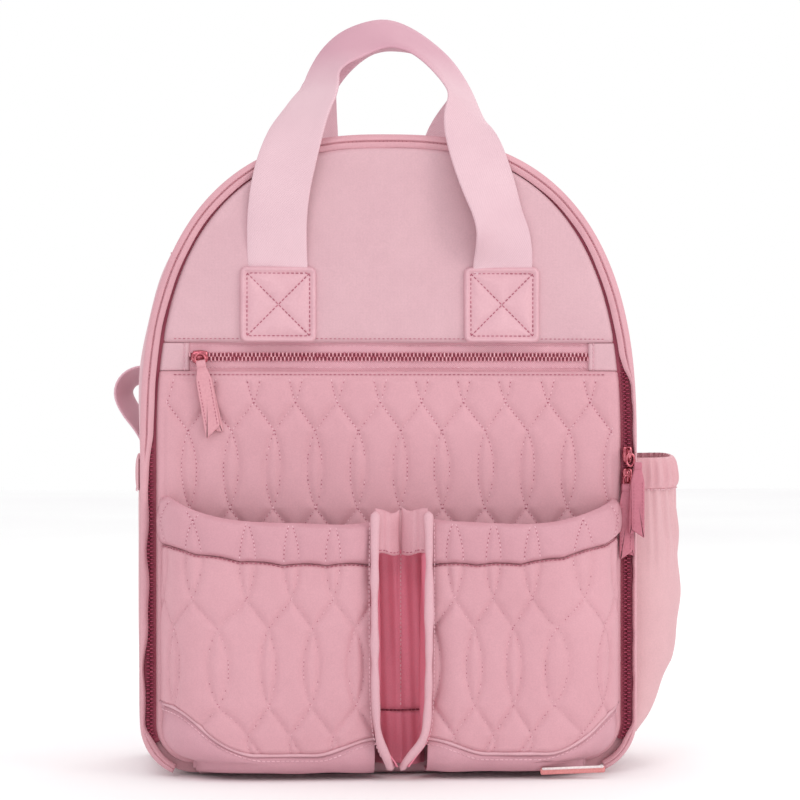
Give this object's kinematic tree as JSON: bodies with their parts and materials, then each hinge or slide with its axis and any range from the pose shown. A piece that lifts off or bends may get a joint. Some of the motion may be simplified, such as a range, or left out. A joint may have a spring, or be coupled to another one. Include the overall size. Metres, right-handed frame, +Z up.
{
  "type": "diaper bag",
  "caption": "Arched clamshell diaper backpack with tote handles, quilted front pockets, a bottle pocket, metal zips with leather pulls and shoulder straps.",
  "frame": {"origin": "centre of the base's underside, where the bag stands", "axes": "+Z up, front face towards -Y, +X to the right as seen from the front"},
  "size_m": [0.3662, 0.2066, 0.479],
  "materials": {
    "shell_fabric": "matte microfibre",
    "quilted_fabric": "matte quilted microfibre",
    "edge_fabric": "soft rolled binding",
    "pleat_fabric": "matte microfibre, deeper in tone",
    "lining": "smooth polyester",
    "stiffener": "matte board",
    "zip_tape": "woven tape",
    "zip_metal": "polished rose gold",
    "webbing": "fine twill webbing",
    "leather_trim": "satin leather"
  },
  "bodies": {
    "bag_body": {"gusset": "shell_fabric", "base_panel": "shell_fabric", "base_board": "stiffener", "back_panel": "shell_fabric", "back_piping": "edge_fabric", "body_lining": "lining", "organizer_pocket": "lining", "zip_guard": "edge_fabric", "main_zip_outer_tape": "zip_tape", "main_zip_outer_teeth": "zip_metal", "hinge_piping": "shell_fabric", "side_pocket_right": "shell_fabric", "side_pocket_left": "shell_fabric", "pocket_elastic_right": "edge_fabric", "pocket_elastic_left": "edge_fabric", "strap_yoke": "shell_fabric", "shoulder_pad_left": "shell_fabric", "shoulder_pad_right": "shell_fabric", "shoulder_webbing_left": "webbing", "shoulder_webbing_right": "webbing", "strap_anchor_left": "leather_trim", "strap_anchor_right": "leather_trim", "ring_tab_left": "leather_trim", "ring_tab_right": "leather_trim", "rear_patch_left": "leather_trim", "rear_patch_right": "leather_trim"},
    "front_panel": {"upper_front_panel": "shell_fabric", "quilted_front_panel": "quilted_fabric", "panel_lining": "lining", "main_zip_inner_tape": "zip_tape", "main_zip_inner_teeth": "zip_metal", "front_zip_tapes": "zip_tape", "front_zip_teeth_upper": "zip_metal", "front_zip_teeth_lower": "zip_metal", "front_zip_end_tabs": "shell_fabric", "front_pocket_left": "quilted_fabric", "front_pocket_right": "quilted_fabric", "pocket_cuff_left": "quilted_fabric", "pocket_cuff_right": "quilted_fabric", "base_band_left": "shell_fabric", "base_band_right": "shell_fabric", "pleat_back": "pleat_fabric", "pleat_bindings": "edge_fabric", "label_tag": "leather_trim", "front_patch_left": "leather_trim", "front_patch_right": "leather_trim"},
    "front_zip_slider_body": {"front_zip_slider": "zip_metal"},
    "front_zip_pull_body": {"front_zip_pull": "leather_trim"},
    "upper_main_slider_body": {"upper_main_slider": "zip_metal"},
    "upper_main_pull_body": {"upper_main_pull": "leather_trim"},
    "lower_main_slider_body": {"lower_main_slider": "zip_metal"},
    "lower_main_pull_body": {"lower_main_pull": "leather_trim"},
    "front_handle_body": {"front_handle": "webbing"},
    "rear_handle_body": {"rear_handle": "webbing"},
    "strap_adjuster_left_body": {"strap_adjuster_left": "zip_metal"},
    "strap_adjuster_right_body": {"strap_adjuster_right": "zip_metal"},
    "side_ring_left_body": {"side_ring_left": "zip_metal"},
    "side_ring_right_body": {"side_ring_right": "zip_metal"}
  },
  "joints": [
    {"name": "front_panel_open", "type": "hinge", "parent": "bag_body", "child": "front_panel", "pos_m": [0, -0.062, 0.004], "axis": [1, 0, 0], "range_deg": [0, 95]},
    {"name": "front_zip_slide", "type": "slide", "parent": "front_panel", "child": "front_zip_slider_body", "axis": [1, 0, 0], "range_m": [0, 0.238]},
    {"name": "front_zip_pull_swing", "type": "hinge", "parent": "front_zip_slider_body", "child": "front_zip_pull_body", "pos_m": [-0.1206, -0.074, 0.2654], "axis": [0, 1, 0], "range_deg": [-35, 45]},
    {"name": "upper_main_zip_slide", "type": "slide", "parent": "front_panel", "child": "upper_main_slider_body", "axis": [-0.02, 0, 0.9998], "range_m": [0, 0.035]},
    {"name": "upper_main_pull_swing", "type": "hinge", "parent": "upper_main_slider_body", "child": "upper_main_pull_body", "pos_m": [0.152, -0.077, 0.203], "axis": [-1, 0, 0], "range_deg": [0, 110]},
    {"name": "lower_main_zip_slide", "type": "slide", "parent": "front_panel", "child": "lower_main_slider_body", "axis": [0, 0, -1], "range_m": [0, 0.12]},
    {"name": "lower_main_pull_swing", "type": "hinge", "parent": "lower_main_slider_body", "child": "lower_main_pull_body", "pos_m": [0.152, -0.071, 0.189], "axis": [-1, 0, 0], "range_deg": [0, 110]},
    {"name": "front_handle_fold", "type": "hinge", "parent": "front_panel", "child": "front_handle_body", "pos_m": [0, -0.0728, 0.3184], "axis": [1, 0, 0], "range_deg": [0, 150]},
    {"name": "rear_handle_fold", "type": "hinge", "parent": "bag_body", "child": "rear_handle_body", "pos_m": [0, 0.0728, 0.381], "axis": [-1, 0, 0], "range_deg": [0, 150]},
    {"name": "left_strap_adjust", "type": "slide", "parent": "bag_body", "child": "strap_adjuster_left_body", "axis": [0, 0, -1], "range_m": [0, 0.045]},
    {"name": "right_strap_adjust", "type": "slide", "parent": "bag_body", "child": "strap_adjuster_right_body", "axis": [0, 0, -1], "range_m": [0, 0.045]},
    {"name": "left_ring_swing", "type": "hinge", "parent": "bag_body", "child": "side_ring_left_body", "pos_m": [-0.132, 0.075, 0.322], "axis": [1, 0, 0], "range_deg": [0, 110]},
    {"name": "right_ring_swing", "type": "hinge", "parent": "bag_body", "child": "side_ring_right_body", "pos_m": [0.132, 0.075, 0.322], "axis": [1, 0, 0], "range_deg": [0, 110]}
  ]
}
